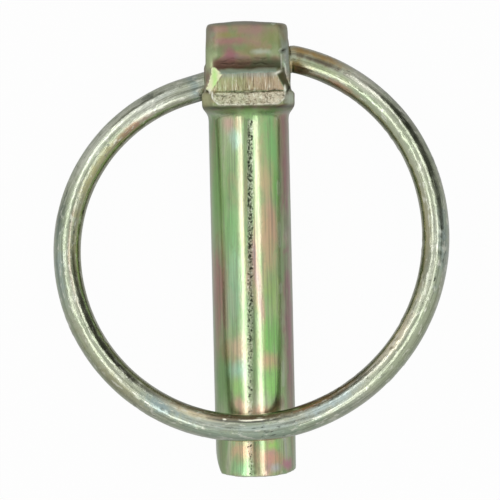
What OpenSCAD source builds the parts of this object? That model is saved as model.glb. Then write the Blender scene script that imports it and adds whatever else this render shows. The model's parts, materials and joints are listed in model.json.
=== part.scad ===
// Lynch pin: a forged steel pin with a sprung wire ring that closes over the shank.
// The pin lies on its back. +Y runs up the shank to the head, +Z is the front.
// The origin is on the shank's axis at the shoulder under the collar.

/* [Shank] */
// Diameter of the round shank
shank_d = 10; // [9:0.1:11]
// Length from the shoulder to the furthest point of the tip
shank_len = 45; // [43:0.5:55]
// Length of full diameter, which the closed ring leaves free
grip_len = 36.3; // [30:0.1:36.5]
// Diameter at the tip, which the cropping drew down a little
tip_d = 9.9; // [9.6:0.05:10]
// Slant of the cropped end, longest at the front
crop_slant = 10.5; // [0:0.5:15]
// Radius of the side that the shear blade rolled over
roll_r = 9.3; // [6:0.1:12]
// Length of the rolled side
roll_len = 3.9; // [1:0.1:4.5]

/* [Collar] */
// Width across the collar
collar_w = 11.5; // [11:0.1:13]
// Distance from the axis to the collar's front flat
collar_front = 5.95; // [5.5:0.05:6.5]
// Height of the collar's lower edge above the shoulder
collar_foot = 1.15; // [0.8:0.05:1.5]
// Height of the collar's upper edge above the shoulder
collar_top = 2.85; // [2.2:0.05:3]
// Width of the collar's corner bevels
collar_bevel = 1.35; // [0.8:0.05:1.8]

/* [Head] */
// Height of the head's crown above the shoulder
head_h = 11.6; // [11:0.1:13]
// Width of the head at its top
head_top_w = 10; // [9.6:0.1:10.6]
// Draft of each side of the head
head_draft = 2; // [0:0.25:3]
// Radius of the crowned top
crown_r = 38; // [20:1:60]
// Sideways offset of the crown's highest line
crown_shift = -0.4; // [-1:0.1:1]
// Distance from the axis to the front of the nose
nose_front = 7.5; // [7:0.1:8]
// Distance from the axis to the flat back
back_depth = 5.2; // [5.1:0.05:6]
// Width of the bevels down the head's corners
cheek_bevel = 1; // [0.6:0.1:1.6]
// Width of the bevels along the front and back top edges
brow_bevel = 0.6; // [0.2:0.1:1]

/* [Notch under the nose] */
// Distance from the axis to the notch's flat floor
notch_floor = 5.7; // [5.3:0.05:5.9]
// Height above the shoulder at which the nose starts to curl under
notch_top = 7.8; // [7.4:0.1:8.2]
// Radius of the nose's curled underside
nose_r = 2.6; // [2:0.1:3]
// Width of the floor at its upper end
floor_top_w = 6.6; // [5.6:0.1:7.2]
// Sideways offset of the floor's upper end
floor_shift = 0.25; // [-0.3:0.05:0.3]
// Width of the floor at the collar
floor_foot_w = 9.4; // [8.6:0.1:9.8]
// Steepness of the notch's side walls
notch_wall = 52; // [45:1:65]

/* [Ring seats] */
// Mean height of the two holes above the shoulder
hole_height = 5.34; // [5:0.02:5.8]
// Height of the right hole above the left one, which gives the ring its snap
hole_rise = 2.95; // [2.6:0.05:3.4]
// Radial clearance of the wire in its holes
hole_gap = 0.05; // [0.03:0.01:0.08]
// Length of wire inside each hole
tenon_len = 3.2; // [2.4:0.1:3.4]
// Free depth past the wire's end in each hole
hole_spare = 0.4; // [0.2:0.1:0.6]
// Radius of the raised lip round each hole
lip_r = 2.7; // [2.4:0.1:2.9]
// Height of the raised lip
lip_h = 0.2; // [0.1:0.05:0.4]

/* [Ring] */
// Diameter of the spring wire
wire_d = 3.4; // [3:0.05:3.6]
// Straight length between the left hole and the first bend
stub_len = 2.5; // [2:0.1:3]
// Distance of the right bend from its hole's lip
bend_out = 0.3; // [0.25:0.05:0.6]
// Bend radius of the ring's left side
left_r = 20.9; // [20:0.1:22]
// Turn of the ring's left side
left_turn = 75.5; // [70:0.5:80]
// Bend radius of the ring's lower side
foot_r = 22.4; // [22:0.1:23.5]
// Turn of the ring's lower side
foot_turn = 105; // [100:0.5:106]
// Bend radius of the ring's right side
right_r = 23.9; // [23:0.1:24.5]
// Turn of the ring's right side
right_turn = 97.5; // [94:0.5:100]
// Gap between the closed ring and the shank
rest_gap = 0.1; // [0.05:0.05:0.4]

/* [Hidden] */
$fn = 64;
eps = 0.01;
// How far the joints between the wire's lengths stand proud, so that they fuse
joint_proud = 0.01;
far = 30;

// Half width of the head's side at a height above the shoulder
function side_x(y) = head_top_w / 2 + (head_h - y) * tan(head_draft);
head_foot_w = 2 * side_x(0);

// The two holes share one axis, which rises from left to right
left_mouth = [-side_x(hole_height - hole_rise / 2), hole_height - hole_rise / 2];
right_mouth = [side_x(hole_height + hole_rise / 2), hole_height + hole_rise / 2];
hinge_angle = atan2(right_mouth[1] - left_mouth[1], right_mouth[0] - left_mouth[0]);
hinge_y = left_mouth[1] - left_mouth[0] * tan(hinge_angle);
left_s = left_mouth[0] / cos(hinge_angle);
right_s = (right_mouth[0] + lip_h) / cos(hinge_angle);
hole_d = wire_d + 2 * hole_gap;
drill_tip = hole_d / 2 * tan(31);

// The ring is flat. In its own plane, +X is the hinge axis and -Y runs down the ring.
function turned(p, heading, r, turn) =
    p + r * [sin(heading + turn) - sin(heading), cos(heading) - cos(heading + turn)];
p_left = [left_s - stub_len, 0];
h_left = 180;
p_foot = turned(p_left, h_left, left_r, left_turn);
h_foot = h_left + left_turn;
p_right = turned(p_foot, h_foot, foot_r, foot_turn);
h_right = h_foot + foot_turn;
p_close = turned(p_right, h_right, right_r, right_turn);
h_close = h_right + right_turn;

// The last bend brings the wire back to the hinge axis just outside the right hole
p_end = [right_s + bend_out, 0];
gap_to_end = p_end - p_close;
along = gap_to_end * [cos(h_close), sin(h_close)];
across = gap_to_end * [-sin(h_close), cos(h_close)];
close_r = (along * along + across * across) / (2 * across);
close_turn = 2 * atan2(across, along);
end_bend = 540 - (h_close + close_turn);

// The closed ring leans forward until its wire meets the front of the shank
rest_z = shank_d / 2 + wire_d / 2 + rest_gap;
foot_centre = p_foot + foot_r * [-sin(h_foot), cos(h_foot)];
function drop(lean) =
    let (d = [-sin(hinge_angle), -cos(hinge_angle) / cos(lean)])
    let (a = d * d, b = d * foot_centre, c = foot_centre * foot_centre - foot_r * foot_r)
    (b + sqrt(b * b - a * c)) / a;
function lean_for(reach) = atan2(rest_z, reach * cos(hinge_angle));
ring_lean = lean_for(drop(lean_for(drop(lean_for(shank_len)))));

// Cuts one long corner of the head. The side's draft is followed.
module cheek_cut(z, turn) {
    translate([head_foot_w / 2, 0, z])
        rotate([0, 0, head_draft])
            rotate([0, turn, 0])
                translate([-far / 2, -eps, -cheek_bevel * sin(45)])
                    cube([far, far, far]);
}

// Cuts the top edge of the front or the back
module brow_cut(z, tilt) {
    translate([0, head_h, z])
        rotate([tilt, 0, 0])
            translate([-far / 2, -brow_bevel * sin(45), -far / 2])
                cube([far, far, far]);
}

// Head block with drafted sides, a crowned top and bevelled corners
module head_block() {
    difference() {
        intersection() {
            translate([0, 0, -back_depth])
                linear_extrude(back_depth + nose_front)
                    polygon([
                        [-side_x(collar_top), collar_top],
                        [side_x(collar_top), collar_top],
                        [side_x(head_h), head_h],
                        [-side_x(head_h), head_h]
                    ]);
            translate([crown_shift, head_h - crown_r, -far / 2])
                cylinder(r = crown_r, h = far);
        }
        for (side = [0, 1])
            mirror([side, 0, 0]) {
                cheek_cut(nose_front, 45);
                cheek_cut(-back_depth, 135);
            }
        brow_cut(nose_front, 45);
        brow_cut(-back_depth, -45);
    }
}

// The notch's walls flare from the end of its floor, where the nose meets it, to the collar
floor_end = notch_top - nose_r;
function flare(top_x) = atan2(floor_foot_w / 2 - top_x, floor_end - collar_top);

// Everything on the inner side of one flared wall of the notch, below the nose
module inside_notch_wall(top_x) {
    translate([-top_x, floor_end, notch_floor])
        rotate([0, 0, -flare(top_x)])
            rotate([0, notch_wall - 90, 0])
                translate([0, -far / 2, -far / 2])
                    cube([far, far, far]);
}

// Everything on the inner side of the same wall where it runs straight up beside the nose
module beside_nose(top_x) {
    steepness = atan(tan(notch_wall) * cos(flare(top_x)));
    translate([-top_x, 0, notch_floor])
        rotate([0, steepness - 90, 0])
            translate([0, -far / 2, -far / 2])
                cube([far, far, far]);
}

// Notch under the nose: a flat floor between flared walls, below a curled underside
module notch_cut() {
    left_x = floor_top_w / 2 - floor_shift;
    right_x = floor_top_w / 2 + floor_shift;
    difference() {
        intersection() {
            translate([-far / 2, collar_top, notch_floor])
                cube([far, notch_top - collar_top, far]);
            // Each pair of walls stands outside the other one where it is needed
            union() {
                intersection() {
                    inside_notch_wall(left_x);
                    mirror([1, 0, 0]) inside_notch_wall(right_x);
                }
                intersection() {
                    beside_nose(left_x);
                    mirror([1, 0, 0]) beside_nose(right_x);
                }
            }
        }
        translate([-far / 2, notch_top, nose_front - nose_r + 2 * eps])
            rotate([0, 90, 0])
                cylinder(r = nose_r, h = far);
    }
}

// Outline of the collar, seen along the shank
module collar_outline() {
    b = collar_bevel;
    w = collar_w / 2;
    polygon([
        [-w, -back_depth + b], [-w + b, -back_depth],
        [w - b, -back_depth], [w, -back_depth + b],
        [w, collar_front - b], [w - b, collar_front],
        [-w + b, collar_front], [-w, collar_front - b]
    ]);
}

// Turns a shape drawn across the shank so that it is extruded up the shank
module up_the_shank(y, h) {
    translate([0, y, 0])
        rotate([-90, 0, 0])
            mirror([0, 1, 0])
                linear_extrude(h) children();
}

// Collar with a straight edge above a tapered underside that runs out at the shoulder
module collar() {
    up_the_shank(collar_foot, collar_top - collar_foot) collar_outline();
    hull() {
        up_the_shank(collar_foot, eps) collar_outline();
        up_the_shank(0, eps) circle(d = shank_d, $fn = 64);
    }
}

// Round shank, drawn down towards its cropped tip
module shank() {
    difference() {
        union() {
            rotate([90, 0, 0])
                translate([0, 0, -collar_foot])
                    cylinder(d = shank_d, h = collar_foot + grip_len);
            rotate([90, 0, 0])
                translate([0, 0, grip_len])
                    cylinder(d1 = shank_d, d2 = tip_d, h = shank_len - grip_len);
        }
        // Slanted crop
        translate([0, -shank_len, tip_d / 2])
            rotate([crop_slant, 0, 0])
                translate([-far / 2, -far, -far / 2])
                    cube([far, far, far]);
        // Side that the shear blade rolled over
        difference() {
            translate([-shank_d, -shank_len - eps, -shank_d])
                cube([shank_d, roll_len, 2 * shank_d]);
            translate([roll_r - shank_d / 2 + eps, roll_len - shank_len, -shank_d])
                cylinder(r = roll_r, h = 2 * shank_d);
        }
    }
}

// Raised lip round a hole's mouth
module lip(mouth, side) {
    translate([mouth[0], mouth[1], 0])
        rotate([0, side * 90, 0])
            translate([0, 0, -1])
                cylinder(r1 = lip_r + (lip_r - hole_d / 2) / 2, r2 = lip_r - lip_h, h = 1 + lip_h);
}

// Places a shape along the hinge axis, from a distance along it
module on_hinge(s, way) {
    translate([0, hinge_y, 0])
        rotate([0, 0, hinge_angle])
            translate([s, 0, 0])
                rotate([0, way * 90, 0])
                    children();
}

// Blind drilled hole, cut from outside the mouth so that it also clears the collar's edge
module hole(s, way) {
    depth = tenon_len + hole_spare;
    on_hinge(s - way * depth, way) {
        cylinder(d = hole_d, h = depth + stub_len);
        translate([0, 0, -drill_tip])
            cylinder(d1 = 0, d2 = hole_d, h = drill_tip);
    }
}

// Relief at the right hole's mouth, where the bent wire sweeps round
module mouth_relief() {
    slope = tan(end_bend + 4);
    start = (hole_d / 2 - wire_d / 2 / cos(end_bend) - hole_gap) / tan(end_bend);
    reach = 1.5;
    on_hinge(p_end[0] + start, 1)
        cylinder(d1 = hole_d, d2 = hole_d + 2 * (reach - start) * slope, h = reach - start);
}

module pin_body() {
    color([0.62, 0.60, 0.42])
        difference() {
            union() {
                shank();
                collar();
                difference() {
                    head_block();
                    notch_cut();
                }
                lip(left_mouth, -1);
                lip(right_mouth, 1);
            }
            hole(left_s, -1);
            hole(right_s, 1);
            mouth_relief();
        }
}

// Straight length of wire along the hinge axis
module straight_wire(from, to) {
    translate([from, 0, 0])
        rotate([0, 90, 0])
            cylinder(d = wire_d, h = to - from);
}

// One bend of the wire, from a point and a heading
module bend(p, heading, r, turn) {
    centre = p + r * [-sin(heading), cos(heading)];
    translate([centre[0], centre[1], 0])
        rotate([0, 0, heading - 90])
            rotate_extrude(angle = turn)
                translate([r, 0]) circle(d = wire_d);
}

// Joint between two lengths of wire. The ball's poles lie along the wire, inside it.
module joint(p, heading) {
    translate([p[0], p[1], 0])
        rotate([0, 0, heading])
            rotate([0, 90, 0])
                sphere(r = wire_d / 2 + joint_proud);
}

module snap_ring() {
    color([0.60, 0.63, 0.52])
        translate([0, hinge_y, 0])
            rotate([0, 0, hinge_angle])
                rotate([-ring_lean, 0, 0]) {
                    straight_wire(p_left[0], left_s + tenon_len);
                    joint(p_left, h_left);
                    bend(p_left, h_left, left_r, left_turn);
                    joint(p_foot, h_foot);
                    bend(p_foot, h_foot, foot_r, foot_turn);
                    joint(p_right, h_right);
                    bend(p_right, h_right, right_r, right_turn);
                    joint(p_close, h_close);
                    bend(p_close, h_close, close_r, close_turn);
                    joint(p_end, h_left);
                    straight_wire(right_s - tenon_len, p_end[0]);
                }
}

pin_body();
snap_ring();
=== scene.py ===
"""Looks of a lynch pin: a forged, yellow zinc plated pin with a sprung wire ring.

The pin lies on its back. +Y runs up the shank to the head and +Z is the front.
Sizes in the tables are in millimetres, and MM turns them into metres.
"""

import json
import math

import bpy
from mathutils import Matrix, Vector, noise

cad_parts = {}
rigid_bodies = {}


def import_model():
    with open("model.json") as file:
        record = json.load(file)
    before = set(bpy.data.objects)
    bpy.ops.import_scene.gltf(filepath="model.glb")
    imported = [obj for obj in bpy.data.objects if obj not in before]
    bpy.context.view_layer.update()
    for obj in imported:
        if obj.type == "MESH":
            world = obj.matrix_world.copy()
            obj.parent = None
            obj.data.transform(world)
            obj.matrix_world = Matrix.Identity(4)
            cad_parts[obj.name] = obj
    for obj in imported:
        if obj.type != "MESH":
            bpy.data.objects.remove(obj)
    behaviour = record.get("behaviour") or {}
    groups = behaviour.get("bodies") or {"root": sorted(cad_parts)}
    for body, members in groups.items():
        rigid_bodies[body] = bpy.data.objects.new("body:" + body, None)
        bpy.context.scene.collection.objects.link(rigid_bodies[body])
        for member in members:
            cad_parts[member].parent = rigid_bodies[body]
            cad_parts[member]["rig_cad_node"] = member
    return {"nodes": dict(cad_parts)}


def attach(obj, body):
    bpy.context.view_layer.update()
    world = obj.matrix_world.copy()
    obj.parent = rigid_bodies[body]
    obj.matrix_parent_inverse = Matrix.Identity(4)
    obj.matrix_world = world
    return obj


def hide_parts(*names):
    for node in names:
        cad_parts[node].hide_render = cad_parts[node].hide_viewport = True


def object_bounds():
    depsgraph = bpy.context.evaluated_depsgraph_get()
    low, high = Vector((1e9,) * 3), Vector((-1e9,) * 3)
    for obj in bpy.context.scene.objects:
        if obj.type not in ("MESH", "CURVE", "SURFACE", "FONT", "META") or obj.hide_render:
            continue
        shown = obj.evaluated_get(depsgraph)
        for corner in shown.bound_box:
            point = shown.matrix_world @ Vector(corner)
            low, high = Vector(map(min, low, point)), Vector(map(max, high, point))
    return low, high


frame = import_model()
cad_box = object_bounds()

MM = 0.001

# Fineness of the meshes
FORGING_VOXEL = 0.18
WIRE_SIDES = 48
WIRE_STEPS = 540
ROUTE_STEP = 0.4

# Below this share, a place stays out of a vertex group
LEAST_SHARE = 0.004

# Shape of the notch under the nose, as in the part's source
COLLAR_TOP = 2.85
FLOOR_END = 5.2
FLOOR_LEFT_TOP = 3.05
FLOOR_RIGHT_TOP = 3.55
FLOOR_FOOT = 4.7

# Marks on the front of the collar and the head
BAND_LEFT = 4.45
BAND_RIGHT = 4.6
BAND_FOOT = 1.3
STEP_HEIGHT = 2.72
NICK_PLACE = (4.6, 7.9)
NICK_WAY = (0.93, 0.37)
GLINT_PLACE = (3.8, 5.2)
GLINT_WAY = (0.91, 0.42)

# Route of the wire, as in the part's source
WIRE_R = 1.7
HINGE_ANGLE = 15.7826
HINGE_Y = 5.35456
RING_LEAN = 9.09966
LEFT_MOUTH = -5.47657
RIGHT_MOUTH = 5.57736
TENON = 3.2
STUB = 2.5
BENDS = [(20.9, 75.5), (22.4, 105.0), (23.9, 97.5), (22.4313, 52.7501)]

# Camera
PHOTO_TILT = 1.274
PHOTO_CENTRE = (-0.19, -16.75)
CAMERA_HEIGHT = 900.0
PIXELS_PER_MM = 8.02
PICTURE_PIXELS = 500

# Table and lamps, in metres, and how white the table looks
TABLE_SIZE = 3.0
TABLE_GAP = 0.00005
PAPER_GREY = 0.5
CAMERA_WHITE = 0.97
MIRRORED_WHITE = 0.12
LAMP_HEIGHT = 0.6
LAMP_WIDTH = 0.12
LAMP_LENGTH = 1.1


# Helpers for modelling

def select_only(piece):
    bpy.ops.object.select_all(action="DESELECT")
    piece.select_set(True)
    bpy.context.view_layer.objects.active = piece


def finish_modifier(piece, modifier):
    select_only(piece)
    bpy.ops.object.modifier_apply(modifier=modifier.name)


def bell(distance, width):
    return math.exp(-((distance / width) ** 2))


def ramp(value, low, high):
    """0 below low, 1 above high, smooth between. low may be above high."""
    t = min(1.0, max(0.0, (value - low) / (high - low)))
    return t * t * (3.0 - 2.0 * t)


def weigh(piece, share_at):
    """Makes a vertex group from a function of place, in millimetres, and normal."""
    group = piece.vertex_groups.new(name=share_at.__name__)
    for vertex in piece.data.vertices:
        share = share_at(vertex.co / MM, vertex.normal)
        if share > LEAST_SHARE:
            group.add([vertex.index], min(share, 1.0), "REPLACE")
    return group.name


def paint(piece, share_at):
    """Stores a share, 0 to 1, at each point, under the function's name, for a material."""
    store = piece.data.attributes.new(share_at.__name__, "FLOAT", "POINT")
    for vertex in piece.data.vertices:
        share = share_at(vertex.co / MM, vertex.normal)
        store.data[vertex.index].value = min(1.0, max(0.0, share))


def soften(piece, rounds, share_at=None):
    """Smooths a piece, all over or as much as a function of place says."""
    modifier = piece.modifiers.new("soft_edges", "SMOOTH")
    modifier.factor = 0.5
    modifier.iterations = rounds
    if share_at:
        modifier.vertex_group = weigh(piece, share_at)
    finish_modifier(piece, modifier)


def press(piece, share_at, depth, texture=None, direction="NORMAL", stretch=None):
    """Moves the surface by a depth in millimetres. A texture makes the move uneven."""
    modifier = piece.modifiers.new("press", "DISPLACE")
    modifier.vertex_group = weigh(piece, share_at)
    modifier.direction = direction
    modifier.strength = depth * MM
    modifier.mid_level = 0.5 if texture else 0.0
    if texture:
        modifier.texture = texture
        modifier.texture_coords = "OBJECT" if stretch else "LOCAL"
        modifier.texture_coords_object = stretch
    finish_modifier(piece, modifier)


def cloud_texture(name, size, depth=2, contrast=1.0):
    texture = bpy.data.textures.new(name, "CLOUDS")
    texture.noise_scale = size * MM
    texture.noise_depth = depth
    texture.contrast = contrast
    return texture


def make_stretch(scale):
    """An empty that draws a texture out by its scale. It is removed after use."""
    stretch = bpy.data.objects.new("stretch", None)
    stretch.scale = scale
    bpy.context.scene.collection.objects.link(stretch)
    bpy.context.view_layer.update()
    return stretch


# The forged pin

def start_from_node(node, name):
    """A merged copy of a CAD node, which a detailed piece is made from."""
    source = frame["nodes"][node]
    select_only(source)
    bpy.ops.object.duplicate()
    piece = bpy.context.active_object
    piece.name = name
    piece.parent = None
    del piece["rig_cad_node"]
    piece.data.materials.clear()
    bpy.ops.object.mode_set(mode="EDIT")
    bpy.ops.mesh.select_all(action="SELECT")
    bpy.ops.mesh.remove_doubles(threshold=0.002 * MM)
    bpy.ops.mesh.normals_make_consistent(inside=False)
    bpy.ops.object.mode_set(mode="OBJECT")
    return piece


def wave(x, seed, size, reach):
    """An uneven line across the pin: its sideways wander at a place x."""
    return reach * noise.noise(Vector((x / size, seed, 0.37)))


# Places on the forging: each gives 0 to 1 for a place p, in millimetres, with normal n

def on_face(normal):
    return ramp(normal.z, 0.25, 0.7)


def forged_skin(p, n):
    return ramp(p.y, 0.1, 0.8) * (1.0 - sheared_face(p, n))


def shank_skin(p, n):
    return ramp(p.y, -0.4, -1.2)


def soft_head(p, n):
    """The head's outer edges, which came out of the die well rounded."""
    upper = ramp(p.y, 5.6, 7.0)
    side = ramp(abs(p.x), 4.6, 4.95) * ramp(p.z, 6.6, 5.6) * ramp(p.y, 2.9, 3.4)
    return max(upper, side)


def soft_cheeks(p, n):
    """The long corners beside the nose's front."""
    across = ramp(p.z, 5.4, 6.2) * ramp(abs(p.x), 2.8, 3.5)
    return across * ramp(p.y, 5.8, 6.8) * ramp(p.y, 11.4, 10.8)


def soft_shoulder(p, n):
    return ramp(p.y, -1.3, -0.6) * ramp(p.y, 0.95, 0.6)


def floor_side(x, y):
    """How far inside the notch's floor a place is, from its nearer slanted side."""
    drop = (FLOOR_END - y) / (FLOOR_END - COLLAR_TOP)
    left = -FLOOR_LEFT_TOP - (FLOOR_FOOT - FLOOR_LEFT_TOP) * drop
    right = FLOOR_RIGHT_TOP + (FLOOR_FOOT - FLOOR_RIGHT_TOP) * drop
    return min(x - left, right - x)


def notch_face(p, n):
    if p.z < 5.2 or not COLLAR_TOP < p.y < 5.6:
        return 0.0
    inside = ramp(p.y, 2.9, 3.1) * ramp(p.y, 5.45, 5.2) * ramp(p.z, 6.05, 5.9)
    return inside * ramp(floor_side(p.x, p.y), 0.0, 0.2) * on_face(n)


def band_end(y, side):
    """Where the rough band on the collar's front ends. Its lower corners are round."""
    full = BAND_LEFT if side < 0 else BAND_RIGHT
    drop = ramp(y, 2.6, 1.1)
    return side * (full - 0.9 * drop * drop)


def collar_band(p, n):
    if p.z < 5.2 or not 1.0 < p.y < 3.0:
        return 0.0
    inside = ramp(p.x, band_end(p.y, -1) - 0.05, band_end(p.y, -1) + 0.2)
    inside *= ramp(p.x, band_end(p.y, 1) + 0.05, band_end(p.y, 1) - 0.2)
    return inside * ramp(p.y, 1.05, 1.3) * ramp(p.y, 2.95, 2.75) * on_face(n)


def sheared_face(p, n):
    return max(notch_face(p, n), collar_band(p, n))


def band_rim(p, n):
    if p.z < 5.0 or not 1.05 < p.y < 3.0:
        return 0.0
    left = bell(p.x - band_end(p.y, -1), 0.09)
    right = bell(p.x - band_end(p.y, 1), 0.09)
    foot = bell(p.y - BAND_FOOT, 0.1) * ramp(abs(p.x), 4.0, 3.4) * 0.35
    broken = 0.45 + 0.55 * ramp(noise.noise(p * 1.3), -0.25, 0.15)
    return max(max(left, right) * ramp(p.y, 1.15, 1.5), foot) * broken * on_face(n)


def step_line(p, n):
    if p.z < 5.2 or abs(p.x) > 4.6 or not 2.2 < p.y < 3.4:
        return 0.0
    line = STEP_HEIGHT + 0.045 * p.x + wave(p.x, 1.0, 1.6, 0.3)
    broken = 0.55 + 0.45 * ramp(noise.noise(Vector((p.x / 0.9, 4.0, 0.0))), -0.3, 0.2)
    return bell(p.y - line, 0.09) * broken * ramp(abs(p.x), 4.5, 4.1)


def nose_roll(p, n):
    """The nose's curled underside: 0 at its front, 1 where it looks down the shank."""
    if p.z < 5.65 or abs(p.x) > 4.9 or not 5.1 < p.y < 8.2:
        return 0.0
    return max(0.0, -n.y)


def nose_seam(p, n):
    if nose_roll(p, n) < 0.1:
        return 0.0
    upper = bell(p.y - 6.75 - wave(p.x, 3.0, 1.2, 0.35), 0.09) * 0.7
    lower = bell(p.y - 6.25 - wave(p.x, 5.0, 0.9, 0.3), 0.1)
    broken = 0.2 + 0.8 * ramp(noise.noise(Vector((p.x / 0.8, 9.0, 0.0))), -0.2, 0.25)
    return max(upper, lower) * broken * ramp(abs(p.x), 3.9, 3.2)


def slanted_mark(p, place, way, width, length):
    """A short mark on the front that runs a slanted way."""
    dx = p.x - place[0]
    dy = p.y - place[1]
    across = dy * way[0] - dx * way[1]
    along = dx * way[0] + dy * way[1]
    return bell(across, width) * bell(along, length)


def cheek_nick(p, n):
    if p.z < 5.3:
        return 0.0
    return slanted_mark(p, NICK_PLACE, NICK_WAY, 0.14, 0.42)


def notch_corners(p, n):
    """Deep corners at the feet of the notch's walls."""
    if p.z < 4.6 or p.y > 4.2:
        return 0.0
    left = bell(p.x + 5.0, 0.22) * bell(p.y - 2.95, 0.2)
    right = bell(p.x - 4.98, 0.2) * bell(p.y - 3.1, 0.45)
    return max(left, right)


# Painted light: the left wall of the notch, coloured pale and bright
def left_wall(p, n):
    if p.x > -2.6 or p.z < 5.6:
        return 0.0
    inside = ramp(p.y, 2.85, 3.05) * ramp(p.y, 6.1, 5.8)
    return inside * ramp(n.x, 0.3, 0.55) * ramp(n.y, -0.75, -0.5)


# Painted shade: the right wall of the notch, which deep_shade darkens
def right_wall(p, n):
    if p.x < 3.0 or p.z < 5.6:
        return 0.0
    return ramp(n.x, -0.3, -0.55) * ramp(p.y, 2.8, 3.0) * ramp(p.y, 5.9, 5.6)


def wall_glint(p, n):
    if p.z < 5.6:
        return 0.0
    return slanted_mark(p, GLINT_PLACE, GLINT_WAY, 0.17, 0.42)


def tip_rim(p, n):
    return ramp(p.y, -43.6, -44.4)


def pale_lines(p, n):
    """Pale lines along the sheared edges, partly bare metal and partly painted highlight, and
    the painted glint on the right wall.
    """
    if p.z < 4.8 or p.y < 1.0:
        return 0.0
    nose_edge = bell(p.x - 4.2, 0.08) * ramp(p.y, 5.3, 5.7) * ramp(p.y, 7.8, 7.3) * 0.3
    left_foot = bell(p.x + 4.75, 0.12) * ramp(p.y, 2.6, 2.8) * ramp(p.y, 3.5, 3.1)
    right_foot = bell(p.x - 4.58, 0.1) * ramp(p.y, 2.7, 2.9) * ramp(p.y, 3.8, 3.4)
    return max(band_rim(p, n), nose_edge, left_foot * 0.8, right_foot * 0.9, wall_glint(p, n))


def dark_lines(p, n):
    """Dark lines in the seams, the step and the nick, and painted shade in the notch's corners
    and under the collar.
    """
    collar_shade = bell(p.y - 0.95, 0.22) * 0.55 * ramp(p.z, 1.0, 3.5)
    return max(step_line(p, n) * 0.5, nose_seam(p, n) * 0.45, cheek_nick(p, n) * 0.8,
               notch_corners(p, n), collar_shade)


def uneven_height(p):
    """Height on the nose's underside, with a wander, so that no edge there is ruled."""
    return p.y + wave(p.x, 7.0, 1.4, 0.16)


def deep_shade(p, n):
    height = uneven_height(p)
    under = ramp(height, 7.5, 6.4) * ramp(height, 5.45, 5.85) * ramp(abs(p.x), 4.5, 4.1)
    if nose_roll(p, n) < 0.05:
        under = 0.0
    return max(under, right_wall(p, n) * 0.9)


def nose_reflection_band(p, n):
    """The lowest part of the nose's underside, which carries a lighter teal band of painted
    reflection.
    """
    if nose_roll(p, n) < 0.3:
        return 0.0
    return ramp(uneven_height(p), 5.9, 5.45) * ramp(abs(p.x - 0.1), 3.8, 3.3)


def fine_front(p, n):
    """The notch, the nose's underside and the collar's front, which carry the finest marks."""
    return p.z > 5.0 and 0.9 < p.y < 7.4 and abs(p.x) < 5.3


def cut_finely(piece, chosen):
    """Splits the chosen faces once more, for the fine detail that they carry."""
    select_only(piece)
    bpy.ops.object.mode_set(mode="EDIT")
    bpy.ops.mesh.select_mode(type="FACE")
    bpy.ops.mesh.select_all(action="DESELECT")
    bpy.ops.object.mode_set(mode="OBJECT")
    for face in piece.data.polygons:
        face.select = chosen(face.center / MM, face.normal)
    bpy.ops.object.mode_set(mode="EDIT")
    bpy.ops.mesh.subdivide(number_cuts=1)
    bpy.ops.object.mode_set(mode="OBJECT")


def make_forged_pin():
    pin = start_from_node("pin_body", "forged_pin")

    remesh = pin.modifiers.new("even_mesh", "REMESH")
    remesh.mode = "VOXEL"
    remesh.voxel_size = FORGING_VOXEL * MM
    finish_modifier(pin, remesh)

    soften(pin, 4)
    soften(pin, 24, soft_head)
    soften(pin, 30, soft_shoulder)
    soften(pin, 80, soft_cheeks)
    cut_finely(pin, fine_front)

    forging_dents = cloud_texture("forging_dents", 3.6, 1)
    scale_marks = cloud_texture("scale_marks", 1.7)
    sheared_grain = cloud_texture("sheared_grain", 0.27, contrast=1.6)
    rough_grain = cloud_texture("rough_grain", 0.4, contrast=1.6)
    fine_grain = cloud_texture("fine_grain", 0.9, 1)
    stretch = make_stretch((1.0, 16.0, 1.0))
    press(pin, forged_skin, 0.16, forging_dents)
    press(pin, forged_skin, 0.05, scale_marks)
    press(pin, shank_skin, 0.03, scale_marks, stretch=stretch)
    press(pin, nose_roll, 0.14, fine_grain)
    press(pin, notch_face, 0.2, sheared_grain, "Z", stretch)
    press(pin, collar_band, 0.34, rough_grain)
    press(pin, tip_rim, 0.1, fine_grain)
    bpy.data.objects.remove(stretch)

    for share_at in (sheared_face, pale_lines, dark_lines, deep_shade, left_wall, nose_reflection_band):
        paint(pin, share_at)

    press(pin, band_rim, 0.1)
    press(pin, step_line, -0.1)
    press(pin, nose_seam, -0.07)
    press(pin, cheek_nick, -0.28)
    press(pin, notch_corners, -0.25)

    pin.vertex_groups.clear()
    select_only(pin)
    bpy.ops.object.shade_smooth()
    return pin


# The wire ring

def route_of_wire():
    """Points of the wire's centreline in the ring's own plane, and its length."""
    points = [Vector((LEFT_MOUTH + TENON, 0.0)), Vector((LEFT_MOUTH - STUB, 0.0))]
    heading = math.pi
    for radius, turn in BENDS:
        start = points[-1]
        centre = start + radius * Vector((-math.sin(heading), math.cos(heading)))
        steps = int(math.radians(turn) * radius / ROUTE_STEP)
        for step in range(1, steps + 1):
            angle = heading + math.radians(turn) * step / steps
            points.append(centre + radius * Vector((math.sin(angle), -math.cos(angle))))
        heading += math.radians(turn)
    points.append(Vector((RIGHT_MOUTH - TENON, 0.0)))
    length = sum((b - a).length for a, b in zip(points, points[1:]))
    return points, length


def scuffed(p, n):
    """Places where the ring rubbed, as seen along the straight wire."""
    worn = noise.noise(Vector((p.x / 5.0, p.y / 1.4, p.z / 1.4)))
    return ramp(worn, 0.05, 0.45) * ramp(p.x, 7.0, 12.0) * ramp(p.x, 131.0, 126.0)


def free_wire(p, n):
    """All of the wire but its ends, which sit in the head."""
    return ramp(p.x, 4.0, 8.0) * ramp(p.x, 134.5, 130.0)


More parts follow.
